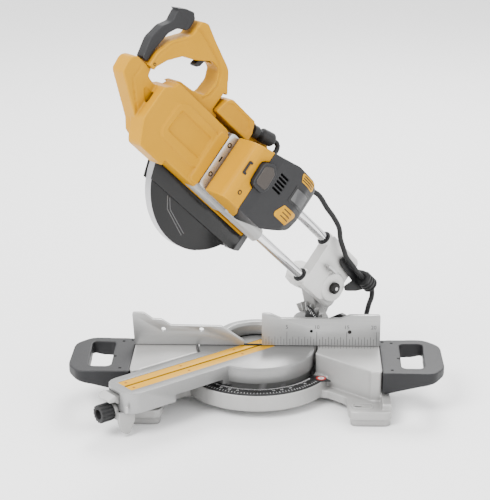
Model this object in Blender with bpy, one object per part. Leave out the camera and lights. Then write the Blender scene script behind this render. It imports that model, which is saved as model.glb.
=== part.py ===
"""Sliding compound mitre saw, 216 mm blade.

Sizes are in millimetres and the mesh builders turn them into metres. The saw is built in three frames:
  world  X right, Y away from the operator, Z up, the origin on the bench under the mitre axis
  arm    x to the operator's right across the kerf, y backwards along the arm, z up; turned by MITRE_DEG
  head   the arm frame raised by RAISE_DEG about the chop hinge, whose axis is this frame's x axis
"""

import math

import bmesh
import bpy
from mathutils import Vector

MM = 0.001
GAP = 0.3  # clearance between pieces that touch

# Pose of the joints at rest
MITRE_DEG = -50.0
RAISE_DEG = 44.0

# Base and table
TABLE_Z = 78.0
TURNTABLE_R = 98.0
TURNTABLE_WALL_Z = 51.0
WELL_R = 101.0
WELL_FLOOR_Z = 30.0
RING_R = 126.0
RING_TOP_Z = 42.0
RING_BOTTOM_Z = 13.0
PIVOT_BOSS_R = 34.0
TABLE_EDGE_X = 205.0
TABLE_BACK_Y = 26.0
WALL = 6.0

# Arm
ARM_HALF = 38.0
ARM_FRONT = 285.0
ARM_BOTTOM_Z = 44.0
INSERT_HALF = 19.5
INSERT_FRONT = 268.0
INSERT_BACK = 25.0
SLOT_FRONT = 262.0
KERF = 4.5
KNOB_X = -6.0
KNOB_Z = 40.7
KNOB_Y = -293.0
KNOB_LONG = 22.0

# Hinges of the head
HINGE_BACK = 131.0
HINGE_UP = 86.0  # above the bevel axis
TRUNNION_FRONT = 104.0
TRUNNION_BACK = 118.0

# Head, in the head frame
BLADE_R = 108.0
BLADE_Y = -322.0
BLADE_B = -1.0
GUARD_R = 113.0
GUARD_HALF = 7.5
RAIL_X = 27.0
RAIL_R = 8.0
RAIL_BS = (56.0, -18.6)
RAIL_FRONT = -304.0
RAIL_BACK = 24.0
COLLAR_BACKS = (-232.0, -197.0)
CARRIER_FRONT = -62.0
CARRIER_BACK = 19.0
MOTOR_X = 68.0
MOTOR_B = 43.0
POD_FRONT = -354.0
GEAR_DISTANCE = 45.0  # spindle to intermediate shaft
COVER_FRONT = -519.0
COVER_BACK = -368.0
CABLE_X = 58.0  # where the cord is held on the carrier
CABLE_B = 44.0
GUIDE_FRONT = 31.0
GUIDE_BACK = 57.0

# Cord
CORD_R = 4.25
COIL_R = 51.5
COIL_CENTRE = (74.0, 186.0)
COIL_WIDE = 17.5
COIL_HIGH = 26.0


for leftover in list(bpy.data.objects):
    bpy.data.objects.remove(leftover)


def material(name, colour, roughness, metallic=0.0):
    made = bpy.data.materials.new(name)
    made.use_nodes = True
    shader = made.node_tree.nodes["Principled BSDF"]
    shader.inputs["Base Color"].default_value = (*colour, 1.0)
    shader.inputs["Roughness"].default_value = roughness
    shader.inputs["Metallic"].default_value = metallic
    return made


CAST = material("cast_aluminium", (0.60, 0.59, 0.57), 0.45, 0.5)
MACHINED = material("machined_aluminium", (0.62, 0.62, 0.62), 0.32, 0.8)
YELLOW = material("yellow_plastic", (0.83, 0.47, 0.045), 0.42)
DARK = material("dark_grey_plastic", (0.055, 0.055, 0.058), 0.5)
GREY = material("grey_plastic", (0.12, 0.12, 0.12), 0.5)
BLACK = material("black_plastic", (0.012, 0.012, 0.012), 0.35)
CHROME = material("chromed_steel", (0.75, 0.75, 0.76), 0.12, 1.0)
STEEL = material("bright_steel", (0.55, 0.55, 0.56), 0.3, 1.0)
BLACK_STEEL = material("blacked_steel", (0.03, 0.03, 0.03), 0.4, 0.8)
COPPER = material("copper_winding", (0.55, 0.2, 0.08), 0.35, 1.0)
RUBBER = material("black_rubber", (0.015, 0.015, 0.015), 0.65)
HELPER = material("helper", (0.5, 0.5, 0.5), 0.5)


def empty(name, parent=None, place=(0, 0, 0), turn=None):
    made = bpy.data.objects.new(name, None)
    bpy.context.scene.collection.objects.link(made)
    made.parent = parent
    made.location = Vector(place) * MM
    if turn:
        axis, degrees = turn
        made.rotation_euler["XYZ".index(axis)] = math.radians(degrees)
    return made


# ---- outlines ----


def arc(cx, cy, r, start, end, steps):
    """Points on an arc, in degrees from the first axis towards the second."""
    angles = (start + (end - start) * i / steps for i in range(steps + 1))
    return [(cx + r * math.cos(math.radians(a)), cy + r * math.sin(math.radians(a))) for a in angles]


def rounded(points, steps=3):
    """An outline whose corners (u, v, radius) are rounded; a corner may leave its radius out."""
    made = []
    count = len(points)
    for i, corner in enumerate(points):
        here = Vector(corner[:2])
        radius = corner[2] if len(corner) > 2 else 0.0
        if radius <= 0.0:
            made.append(tuple(here))
            continue
        before = (Vector(points[i - 1][:2]) - here).normalized()
        after = (Vector(points[(i + 1) % count][:2]) - here).normalized()
        half = before.angle(after) / 2
        centre = here + (before + after).normalized() * radius / math.sin(half)
        first = here + before * radius / math.tan(half) - centre
        last = here + after * radius / math.tan(half) - centre
        start = math.atan2(first.y, first.x)
        swing = (math.atan2(last.y, last.x) - start + math.pi) % (2 * math.pi) - math.pi
        for k in range(steps + 1):
            angle = start + swing * k / steps
            made.append((centre.x + radius * math.cos(angle), centre.y + radius * math.sin(angle)))
    return made


def rectangle(u0, u1, v0, v1, radius=0.0):
    return rounded([(u0, v0, radius), (u1, v0, radius), (u1, v1, radius), (u0, v1, radius)])


# ---- solids ----


def place_point(axis, u, v, w):
    """A point at (u, v) across the axis and w along it."""
    if axis == "X":
        return (w, u, v)
    if axis == "Y":
        return (u, w, v)
    return (u, v, w)


def to_object(name, bm, skin, parent, smooth=True):
    bmesh.ops.remove_doubles(bm, verts=bm.verts, dist=1e-4)
    bmesh.ops.recalc_face_normals(bm, faces=bm.faces)
    bmesh.ops.scale(bm, vec=(MM, MM, MM), verts=bm.verts)
    mesh = bpy.data.meshes.new(name)
    bm.to_mesh(mesh)
    bm.free()
    mesh.materials.append(skin)
    if smooth:
        mesh.shade_smooth()
        mesh.set_sharp_from_angle(angle=math.radians(35))
    made = bpy.data.objects.new(name, mesh)
    bpy.context.scene.collection.objects.link(made)
    made.parent = parent
    return made


def prism(name, outline, axis, low, high, skin=None, parent=None):
    """An outline pushed along an axis. Outline axes: X takes (y, z), Y takes (x, z), Z takes (x, y)."""
    bm = bmesh.new()
    rings = [[bm.verts.new(place_point(axis, u, v, w)) for u, v in outline] for w in (low, high)]
    count = len(outline)
    for i in range(count):
        j = (i + 1) % count
        bm.faces.new((rings[0][i], rings[0][j], rings[1][j], rings[1][i]))
    bm.faces.new(rings[0])
    bm.faces.new(list(reversed(rings[1])))
    return to_object(name, bm, skin or HELPER, parent)


def block(name, x, y, z, skin=None, parent=None):
    return prism(name, [(x[0], y[0]), (x[1], y[0]), (x[1], y[1]), (x[0], y[1])], "Z", z[0], z[1], skin, parent)


def turned(name, profile, axis, centre, steps=32, skin=None, parent=None, sweep=(0.0, 360.0)):
    """A closed (radius, along) profile turned about an axis through centre (u, v), whole or in part."""
    whole = abs(sweep[1] - sweep[0]) > 359.9
    stations = steps if whole else steps + 1
    bm = bmesh.new()
    rings = []
    for i in range(stations):
        angle = math.radians(sweep[0] + (sweep[1] - sweep[0]) * i / steps)
        ring = []
        for r, w in profile:
            u = centre[0] + r * math.cos(angle)
            v = centre[1] + r * math.sin(angle)
            ring.append(bm.verts.new(place_point(axis, u, v, w)))
        rings.append(ring)
    count = len(profile)
    for i in range(steps):
        here, after = rings[i], rings[(i + 1) % stations]
        for k in range(count):
            m = (k + 1) % count
            if profile[k][0] == 0 and profile[m][0] == 0:
                continue
            bm.faces.new((here[k], here[m], after[m], after[k]))
    if not whole:
        bm.faces.new(rings[0])
        bm.faces.new(rings[-1])
    return to_object(name, bm, skin or HELPER, parent)


def rod(name, r, axis, centre, low, high, steps=24, skin=None, parent=None):
    return prism(name, arc(*centre, r, 0, 360 - 360 / steps, steps - 1), axis, low, high, skin, parent)


def star(teeth, inner, outer, phase=0.0):
    """A toothed round outline about the origin."""
    made = []
    for i in range(teeth):
        for part, r in ((0.0, inner), (0.3, outer), (0.6, outer), (0.9, inner)):
            a = 2 * math.pi * (i + part + phase) / teeth
            made.append((r * math.cos(a), r * math.sin(a)))
    return made


def shifted(outline, du, dv):
    return [(u + du, v + dv) for u, v in outline]


def combine(target, other, operation):
    other.parent = target.parent
    other.hide_render = True
    other.hide_viewport = False
    other.display_type = "WIRE"
    step = target.modifiers.new(other.name, "BOOLEAN")
    step.object = other
    step.operation = operation
    step.solver = "EXACT"
    return target


def add(target, *others):
    for other in others:
        combine(target, other, "UNION")
    return target


def cut(target, *others):
    for other in others:
        combine(target, other, "DIFFERENCE")
    return target


def smooth_line(points, count):
    """count points, evenly spaced, on a smooth curve through the route's own points."""
    route = [Vector(p) for p in points]
    ends = [2 * route[0] - route[1], *route, 2 * route[-1] - route[-2]]
    fine = []
    for i in range(1, len(ends) - 2):
        a, b, c, d = ends[i - 1 : i + 3]
        for k in range(20):
            t = k / 20
            fine.append(
                0.5 * (2 * b + (c - a) * t + (2 * a - 5 * b + 4 * c - d) * t**2 + (3 * b - a - 3 * c + d) * t**3)
            )
    fine.append(route[-1])
    runs = [0.0]
    for p, q in zip(fine, fine[1:]):
        runs.append(runs[-1] + (q - p).length)
    made = []
    k = 0
    for i in range(count):
        want = runs[-1] * i / (count - 1)
        while k < len(runs) - 2 and runs[k + 1] < want:
            k += 1
        share = (want - runs[k]) / (runs[k + 1] - runs[k])
        made.append(fine[k].lerp(fine[k + 1], min(1.0, share)))
    return made


def cord(name, points, radius, skin, parent=None, resolution=2):
    line = bpy.data.curves.new(name, "CURVE")
    line.dimensions = "3D"
    line.bevel_depth = radius * MM
    line.bevel_resolution = resolution
    line.use_fill_caps = True
    spline = line.splines.new("POLY")
    spline.points.add(len(points) - 1)
    for point, place in zip(spline.points, points):
        point.co = (*(Vector(place) * MM), 1.0)
    line.materials.append(skin)
    made = bpy.data.objects.new(name, line)
    bpy.context.scene.collection.objects.link(made)
    made.parent = parent
    return made


# ---- base ----


def side_table(name, side):
    """One half of the fixed table, a shell open underneath. side is 1 on the right and -1 on the left."""
    inner = arc(0, 0, WELL_R + 1, 14.5, -16.5, 6)
    outline = [*inner, (184, -101), (187, -105), (200, -107), (204, -104), (TABLE_EDGE_X, -98)]
    outline.append((TABLE_EDGE_X, TABLE_BACK_Y))
    return prism(name, [(side * x, y) for x, y in outline], "Z", 24, TABLE_Z)


def side_table_hollow(name, side):
    inner = arc(0, 0, WELL_R + 26, 8, -16, 4)
    outline = [*inner, (186, -96), (TABLE_EDGE_X - WALL, -97), (TABLE_EDGE_X - WALL, TABLE_BACK_Y - WALL)]
    return prism(name, [(side * x, y) for x, y in outline], "Z", -1, TABLE_Z - 7)


def side_skirt(name, side):
    """The flange and feet under one half of the table."""
    outline = rounded(
        [(88, -60), (118, -66, 8), (148, -92, 14), (150, -149, 12), (220, -149, 12), (218, 58, 12)]
        + [(150, 58, 12), (146, 34, 8), (96, 40)],
        2,
    )
    return prism(name, [(side * x, y) for x, y in outline], "Z", 12, 26)


def foot(name, side, y0, y1):
    return prism(name, rectangle(*sorted((side * 153, side * 218)), y0, y1, 9), "Z", 0, 14)


def foot_hollow(name, side, y0, y1):
    return prism(name, rectangle(*sorted((side * 160, side * 199)), y0, y1, 6), "Z", -1, 19)


def bench_slot(name, side, y):
    return prism(name, rectangle(*sorted((side * 160, side * 172)), y - 3, y + 3, 2.5), "Z", -2, 40)


def build_base():
    outer = [(0, 0), (PIVOT_BOSS_R, 0), (PIVOT_BOSS_R, RING_BOTTOM_Z), (RING_R - 3, RING_BOTTOM_Z), (RING_R, 16)]
    rim = [(RING_R, RING_TOP_Z), (WELL_R, RING_TOP_Z), (WELL_R, WELL_FLOOR_Z), (9, WELL_FLOOR_Z), (9, 14), (0, 14)]
    base = turned("base_casting", outer + rim, "Z", (0, 0), 56, CAST, None)
    for side, word in ((1, "right"), (-1, "left")):
        add(base, side_table("table_" + word, side), side_skirt("skirt_" + word, side))
        cut(base, side_table_hollow("table_hollow_" + word, side))
        for y0, y1, end in ((-146, -104, "front"), (14, 55, "rear")):
            add(base, foot(f"foot_{word}_{end}", side, y0, y1))
            cut(base, foot_hollow(f"foot_hollow_{word}_{end}", side, y0 + 7, y1 - 7))
        add(base, block(f"cheek_{word}", sorted((side * 204, side * 219)), (-140, -102), (20, 36)))
        cut(base, bench_slot("bench_slot_" + word, side, -124))
    return base


def build_scale_plate():
    """The curved mitre scale on the ring, with a pointed end at each side."""
    outer = arc(0, 0, RING_R - 0.8, 212, 328, 26)
    inner = arc(0, 0, WELL_R + 2.2, 334, 206, 24)
    outline = [*outer, (123, -66), (108, -47), *inner, (-108, -47), (-123, -66)]
    return prism("mitre_scale_plate", outline, "Z", RING_TOP_Z + GAP, RING_TOP_Z + 2.7, BLACK)


def build_fence():
    right = rounded(
        [(8, TABLE_Z + 1), (8, 135, 2), (22, 135, 5), (40, 127, 8), (140, 127, 8), (155, 133.5, 5), (206, 133.5, 3)]
        + [(206, TABLE_Z + 1)],
        2,
    )
    left = rounded(
        [(-206, TABLE_Z + 1), (-209, 135, 2), (-190, 135, 6), (-175, 124, 6), (-160, 123, 6), (-145, 113, 6)]
        + [(-60, 112, 8), (-22, 86, 2), (-22, TABLE_Z + 1)],
        2,
    )
    fence = prism("fence", right, "Y", 0.3, 8, MACHINED)
    add(fence, turned("fence_bow", [(50, 79), (74, 79), (74, 92), (66, 100), (54, 100), (50, 96)], "Z", (0, 0), 18,
                      sweep=(4, 176)))
    add(fence, prism("fence_left", left, "Y", 0.3, 8))
    add(fence, block("fence_foot_right", (16, 205), (5, 20), (TABLE_Z + GAP, TABLE_Z + 8)))
    add(fence, block("fence_foot_left", (-205, -30), (5, 20), (TABLE_Z + GAP, TABLE_Z + 8)))
    for x in (-157, -93):
        cut(fence, rod(f"fence_hole_{-x}", 4, "Y", (x, 106), -5, 15, 12))
    return fence


def side_handle(name, side):
    """A carrying loop bolted to the end of the table."""
    outer = rounded(
        [(TABLE_EDGE_X + GAP, 32), (280, 35, 26), (307, 8, 34), (307, -84, 34), (289, -111, 18)]
        + [(TABLE_EDGE_X + GAP, -109)],
        4,
    )
    hole = rounded([(239, 15, 8), (278, 17, 8), (274, -88, 10), (237, -88, 10)], 3)
    handle = prism(name, [(side * x, y) for x, y in outer], "Z", 40, 77, DARK)
    cut(handle, prism(name + "_hole", [(side * x, y) for x, y in hole], "Z", 20, 90))
    slope = [(side * 213, 30), (side * 320, 30), (side * 320, 66), (side * 213, 40.5)]
    cut(handle, prism(name + "_slope", slope, "Y", -130, 60))
    rear = [(-84, 39), (60, 39), (60, 52), (-78, 52)]
    return cut(handle, prism(name + "_relief", rear, "X", *sorted((side * 216, side * 320))))


# ---- turntable and arm ----


def build_turntable(arm):
    disc = [(9, WELL_FLOOR_Z + GAP), (92, WELL_FLOOR_Z + GAP), (92, TURNTABLE_WALL_Z - 2), (97, TURNTABLE_WALL_Z)]
    rim = [(TURNTABLE_R, 74), (TURNTABLE_R - 1, 77), (TURNTABLE_R - 4, TABLE_Z), (9, TABLE_Z)]
    table = turned("turntable", disc + rim, "Z", (0, 0), 56, MACHINED, arm)
    beam = [(-ARM_HALF, -40), (-ARM_HALF + 1, -ARM_FRONT, 24), (ARM_HALF - 1, -ARM_FRONT, 24), (ARM_HALF, -40)]
    add(table, prism("arm_beam", rounded(beam, 4), "Z", ARM_BOTTOM_Z, TABLE_Z))
    # the arm bridges the base ring and its scale, and is deepest along the kerf
    cut(table, turned("arm_ring_clearance", [(99.5, 20), (197, 20), (197, 48), (99.5, 48)], "Z", (0, 0), 40))
    for side in (-1, 1):
        x = sorted((side * 16, side * 50))
        cut(table, block(f"arm_side_relief_{side}", x, (-196, -101), (20, 56.5)))
    add(table, prism("rear_beam", [(-34, 60), (34, 60), (30, TRUNNION_BACK), (-30, TRUNNION_BACK)], "Z", 50, 76))
    add(table, rod("trunnion", 34, "Y", (0, TABLE_Z), TRUNNION_FRONT, TRUNNION_BACK, 28))
    cut(table, block("insert_seat", (-INSERT_HALF - GAP, INSERT_HALF + GAP), (-INSERT_FRONT - GAP, INSERT_BACK),
                     (TABLE_Z - 4, 90)))
    cut(table, block("kerf_well", (-9, 9), (-SLOT_FRONT - 1, INSERT_BACK - 2), (53, 90)))
    # room for the blade's edge when the head is tilted over
    cut(table, prism("bevel_well", [(8, 60), (20, 60), (20, 66), (8, 74)], "Y", -SLOT_FRONT - 1, INSERT_BACK - 2))
    cut(table, rod("bevel_bolt_hole", 7, "Y", (0, TABLE_Z), 90, 130, 16))
    cut(table, rod("knob_shank_hole", 8.6, "Y", (KNOB_X, KNOB_Z), -300, -262, 16))
    cut(table, block("latch_pocket", (-26, 10), (-300, -270), (55.5, 72.5)))
    return table


def build_front_bracket(arm):
    """The fin under the arm's front right corner, with the ring round the lock knob's shank."""
    fin = [(-262, 43.7), (-263, 24), (-272, 6), (-277, 4), (-286, 9), (-291.7, 26), (-291.7, 43.7)]
    bracket = prism("front_bracket", fin, "X", 13, 19, CAST, arm)
    add(bracket, rod("bracket_ring", 14, "Y", (KNOB_X, KNOB_Z), -291.7, -285.4, 20))
    add(bracket, block("bracket_bar", (0, 16), (-291.7, -285.4), (30, 42)))
    return cut(bracket, rod("bracket_ring_hole", 9, "Y", (KNOB_X, KNOB_Z), -320, -270, 20))


def build_insert(arm, side):
    """One half of the kerf plate; the right half is undercut for the tilted blade."""
    top, bottom = TABLE_Z - 0.4, TABLE_Z - 4 + GAP
    lip = KERF / 2
    under = 7.0 if side > 0 else lip
    outline = [(side * x, z) for x, z in ((lip, top), (INSERT_HALF, top), (INSERT_HALF, bottom), (under, bottom))]
    name = f"kerf_insert_{'right' if side > 0 else 'left'}"
    return prism(name, outline, "Y", -INSERT_FRONT, INSERT_BACK - 2, YELLOW, arm)


def build_mitre_lock(arm):
    """The lock knob whose rod bears on the base ring, the latch lever and the detent pin it draws."""
    axis = empty("mitre_lock_axis", arm, (KNOB_X, KNOB_Y, KNOB_Z))
    knob = prism("mitre_lock_knob", star(14, 13.4, 14.8), "Y", -KNOB_LONG, 0, RUBBER, axis)
    add(knob, rod("lock_knob_shank", 8, "Y", (0, 0), -1, 30.7, 16))
    add(knob, rod("lock_rod", 3, "Y", (0, 0), 30, -KNOB_Y - 126.6, 10))
    cut(knob, rod("knob_dimple", 8, "Y", (0, 0), -KNOB_LONG - 5, -KNOB_LONG + 7, 16))
    latch_axis = empty("latch_axis", arm, (-8, -275, 64))
    lever = [(3, -8), (3, 4), (-12, 4), (-17, 7), (-28, 2), (-28, -3), (-15, -4), (-12.5, -8)]
    prism("mitre_latch_lever", rounded([(*p, 1.2) for p in lever], 2), "X", -16, 16, CAST, latch_axis)
    pin_axis = empty("detent_axis", arm, (-20, -125.6, 39))
    rod("detent_pin", 2.8, "Y", (0, 0), -130, 0, 12, BLACK_STEEL, pin_axis)


def build_pivot_bolt(arm):
    rod("pivot_bolt", 8.6, "Z", (0, 0), 14.3, 51, 16, STEEL, arm)


# ---- bevel support, in the arm frame raised to the bevel axis ----


def build_bevel_support(bevel):
    """The casting that tilts about the arm's axis and holds the chop hinge's lug."""
    y0 = TRUNNION_BACK + GAP
    hub = rod("bevel_support", 35, "Y", (0, 0), y0, y0 + 17, 28, CAST, bevel)
    lug = arc(HINGE_BACK, HINGE_UP, 23, -10, 190, 12)
    web = [(HINGE_BACK + 19, 40), *lug, (y0, 40), (y0, 0), (y0 + 16, 0), (y0 + 16, 16)]
    add(hub, prism("support_web", web, "X", -17, 13.2))
    shoulder = [(-34, 2), (34, 2), (30, 30), (12, 48), (-12, 48), (-30, 30)]
    add(hub, prism("support_shoulder", shoulder, "Y", y0 + 1, y0 + 14))
    cut(hub, rod("hinge_bore", 7.3, "X", (HINGE_BACK, HINGE_UP), -60, 60, 20))
    cut(hub, rod("spring_recess", 13, "X", (HINGE_BACK, HINGE_UP), -30, -9, 20))
    return cut(hub, rod("support_bolt_hole", 7, "Y", (0, 0), 100, 170, 16))


def build_bevel_fittings(arm, bevel):
    sector = [(24, 100.7), (52, 100.7), (52, 103.7), (24, 103.7)]
    turned("bevel_scale", sector, "Y", (0, TABLE_Z), 12, BLACK, arm, sweep=(20, 80))
    bolt = [(0, 92), (6.6, 92), (6.6, 136), (13, 136), (13, 142), (0, 142)]
    turned("bevel_clamp_bolt", bolt, "Y", (0, 0), 16, STEEL, bevel)
    axis = empty("bevel_lock_axis", bevel, (0, 142.3, 0))
    lever = rod("bevel_lock_lever", 14, "Y", (0, 0), 0, 10, 20, BLACK, axis)
    handle = rounded([(-6, -13), (10, -13), (46, 12, 10), (60, 14, 6), (60, 36, 8), (44, 36, 6), (6, 13), (-6, 13)], 3)
    add(lever, prism("bevel_lever_arm", handle, "Y", 2, 9))


# ---- rail carrier, in the head frame ----


def build_carrier(chop):
    front, back = CARRIER_FRONT, CARRIER_BACK
    side = [(front, -32, 8), (-8, -31, 14), (back, -6, 14), (back, 52, 6), (-20, 52, 6), (-42, 67, 8), (front, 68, 4)]
    casting = prism("rail_carrier", rounded(side, 3), "X", 18.5, 40.5, CAST, chop)
    add(casting, rod("hinge_boss_right", 25, "X", (0, 0), 18.5, 43, 24))
    bridge = rounded([(-40, -20, 8), (-47, -5, 8), (-39, 8, 8), (-29, 13, 2), (-29, -20, 3)], 2)
    add(casting, prism("carrier_bridge", bridge, "X", -32, 22))
    ear = [(-25, -22), (-34, -3), (-25, 13), (-14, 20), *arc(0, 0, 23, 95, -95, 12), (-6, -24)]
    add(casting, prism("hinge_ear_left", ear, "X", -46, -18.2))
    for i, b in enumerate(RAIL_BS):
        add(casting, rod(f"rail_boss_{i}", 13.4, "Y", (RAIL_X, b), front - 4, back + 3, 20))
        cut(casting, rod(f"rail_bore_{i}", 10.5, "Y", (RAIL_X, b), front - 20, back + 20, 20))
    return cut(casting, rod("carrier_hinge_bore", 7.3, "X", (0, 0), -60, 60, 20))


def build_carrier_fittings(chop):
    front, back = CARRIER_FRONT - 4, CARRIER_BACK + 3
    for b, row in zip(RAIL_BS, ("upper", "lower")):
        for y0, y1, end in ((front + 1, front + 24, "front"), (back - 24, back - 1, "rear")):
            ring = [(RAIL_R + GAP, y0), (10.2, y0), (10.2, y1), (RAIL_R + GAP, y1)]
            turned(f"rail_bush_{row}_{end}", ring, "Y", (RAIL_X, b), 16, BLACK_STEEL, chop)
    pin = [(0, -51), (11, -51), (11, -46.3), (7, -46.3), (7, 43.3), (10, 43.3), (10, 49), (7.5, 51), (0, 51)]
    turned("hinge_pin", pin, "X", (0, 0), 20, BLACK_STEEL, chop)
    axis = empty("slide_lock_axis", chop, (40.8, CARRIER_FRONT + 30, 20))
    screw = rod("slide_lock_knob", 4, "X", (0, 0), 0, 5, 14, STEEL, axis)
    wing = rounded([(-13, -2.5, 2), (13, -2.5, 2), (13, 2.5, 2), (-13, 2.5, 2)], 2)
    add(screw, prism("screw_wings", wing, "X", 4, 12))
    plate = [(-27, 43, 6), (-17, 56, 6), (14, 48), (38, 59, 6), (58, 57, 6), (60, 34, 8), (46, 22, 3), (26, 10, 3)]
    plate += [(18, 14, 3), (27, 31), (-12, 36, 4)]
    guide = prism("cable_guide", rounded(plate, 2), "X", 43.3, 47, BLACK, chop)
    barrel = [(0, GUIDE_FRONT), (12.5, GUIDE_FRONT), (12.5, GUIDE_BACK), (0, GUIDE_BACK)]
    add(guide, turned("guide_barrel", barrel, "Y", (CABLE_X, CABLE_B), 16))
    cut(guide, rod("guide_hole", CORD_R + GAP, "Y", (CABLE_X, CABLE_B), 10, 90, 16))
    turns, per_turn = 4, 12
    coil = []
    for i in range(turns * per_turn + 1):
        angle = 2 * math.pi * i / per_turn
        coil.append((-16.4 + 1.55 * i / per_turn, 10 * math.cos(angle), 10 * math.sin(angle)))
    cord("lift_spring", coil, 0.7, STEEL, chop, resolution=0)


# ---- head ----


def build_rails(head):
    for b, row in zip(RAIL_BS, ("upper", "lower")):
        profile = [(0, RAIL_FRONT), (RAIL_R, RAIL_FRONT), (RAIL_R, RAIL_BACK - 1), (RAIL_R - 1, RAIL_BACK), (5, RAIL_BACK)]
        bore = [(5, RAIL_FRONT + 20), (0, RAIL_FRONT + 20)]
        turned(f"{row}_rail", profile + bore, "Y", (RAIL_X, b), 24, CHROME, head)


def build_gear_case(head):
    y, b = BLADE_Y, BLADE_B
    web = rounded([(COVER_BACK + 0.4, -33, 4), (-286, -33, 6), (-286, 72, 8), (COVER_BACK + 0.4, 72, 8)], 2)
    case = prism("gear_case", web, "X", 14, 36.5, CAST, head)
    for i, (rail_b, back) in enumerate(zip(RAIL_BS, COLLAR_BACKS)):
        add(case, rod(f"rail_collar_{i}", 13, "Y", (RAIL_X, rail_b), -287.6, back, 20))
        cut(case, rod(f"rail_socket_{i}", RAIL_R + 0.2, "Y", (RAIL_X, rail_b), RAIL_FRONT - GAP, back + 20, 24))
    cut(case, rod("spindle_bore", 11, "X", (y, b), 0, 60, 20))
    cut(case, rod("layshaft_bore", 8.3, "X", (y, b + GEAR_DISTANCE), 17, 60, 16))
    cut(case, rod("lock_button_bore", 4.3, "Z", (25, BLADE_Y + 4), 57.5, 80, 12))
    outline = rounded([(COVER_BACK + 0.4, -26, 6), (-288, -26, 6), (-288, 71, 6), (COVER_BACK + 0.4, 71, 6)], 2)
    flange = prism("motor_flange", outline, "X", 36.8, 46, STEEL, head)
    return cut(flange, block("flange_window", (30, 60), (-349, -295), (-22.6, 67.6)))


def pod_outline():
    """The motor pod from above: (x, y)."""
    return rounded(
        [(46.3, POD_FRONT, 6), (99, POD_FRONT, 14), (104, -300, 20), (102, -225, 26), (84, -184, 26), (52, -186, 14)]
        + [(41, -206, 10), (41, -284), (46.3, -284)],
        3,
    )


def pod_half(name, skin=None, parent=None):
    """The pod cut to its outline from the side, before it is split."""
    pod = prism(name, pod_outline(), "Z", -40, 110, skin, parent)
    side = [(-362, -27, 10), (-262, -27, 14), (-238, -15, 20), (-204, 4, 20), (-184, 40, 20), (-186, 80, 14)]
    side += [(-214, 90, 18), (-262, 91, 20), (-300, 82, 12), (-362, 70, 10)]
    return combine(pod, prism(name + "_side", rounded(side, 3), "X", 0, 200), "INTERSECT")


def motor_split(name, dy=0.0):
    """What lies behind the slanted joint between the motor housing and the end cap."""
    return prism(name, [(30, -262 + dy), (72, -292 + dy), (120, -338 + dy), (120, -150), (30, -150)], "Z", -60, 150)


def pod_hollows(name):
    return (
        block(name + "_gears", (40, 92), (-346, -286), (-12, 64)),
        rod(name + "_cavity", 25, "Y", (MOTOR_X, MOTOR_B), -290, -222, 24),
    )


def dome_outline(grow=0.0):
    g = grow
    return rounded([(-330 - g, 14 - g, 8), (-303 + g, 14 - g, 8), (-297 + g, 26, 6), (-299 + g, 54, 6), (-313, 63 + g, 8)]
                   + [(-332 - g, 54, 8)], 2)


def build_motor(head):
    case = pod_half("motor_housing", YELLOW, head)
    cut(case, motor_split("case_split"), *pod_hollows("case"), prism("dome_seat", dome_outline(0.4), "X", 96.6, 130))
    cap = pod_half("motor_end_cap", DARK, head)
    combine(cap, motor_split("cap_split", 0.4), "INTERSECT")
    cut(cap, *pod_hollows("cap"))
    return add(cap, prism("cap_dome", dome_outline(), "X", 97, 109))


def build_motor_internals(head, armature):
    turned("stator", [(18.6, -270), (24.7, -270), (24.7, -236), (18.6, -236)], "Y", (MOTOR_X, MOTOR_B), 24, STEEL, head)
    shaft = [(0, -303), (4, -303), (4, -272), (18, -272), (18, -236), (10, -236), (10, -228), (4, -228), (4, -223), (0, -223)]
    rotor = turned("armature", shaft, "Y", (0, 0), 20, COPPER, armature)
    bearing = [(4.4, -285), (24.7, -285), (24.7, -279), (4.4, -279)]
    turned("motor_bearing", bearing, "Y", (MOTOR_X, MOTOR_B), 20, STEEL, head)
    add(rotor, bevel_gear("motor_pinion", "Y", 10, (7.4, 10.6), (-309.5, -300.4)))


def bevel_gear(name, axis, teeth, radii, alongs, skin=None, parent=None):
    """A toothed cone frustum: radii and alongs are (at one end, at the other)."""
    bm = bmesh.new()
    rings = []
    for r, w in zip(radii, alongs):
        rings.append([bm.verts.new(place_point(axis, u, v, w)) for u, v in star(teeth, r - 1.6, r)])
    count = len(rings[0])
    for i in range(count):
        j = (i + 1) % count
        bm.faces.new((rings[0][i], rings[0][j], rings[1][j], rings[1][i]))
    bm.faces.new(rings[0])
    bm.faces.new(list(reversed(rings[1])))
    return to_object(name, bm, skin or HELPER, parent, smooth=False)


def build_gears(arbor, layshaft):
    lay = bevel_gear("layshaft_gears", "X", 17, (18.2, 14.6), (52, 58), STEEL, layshaft)
    add(lay, rod("layshaft", 8, "X", (0, 0), 17.3, 53, 16))
    add(lay, prism("layshaft_spur", star(24, 20.9, 22.8), "X", 38.4, 45.6))
    wheel = prism("drive_gear", star(22, 19.2, 21.2), "X", 38.4, 45.6, STEEL, arbor)
    cut(wheel, rod("drive_gear_bore", 8.3, "X", (0, 0), 30, 60, 16))


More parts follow.
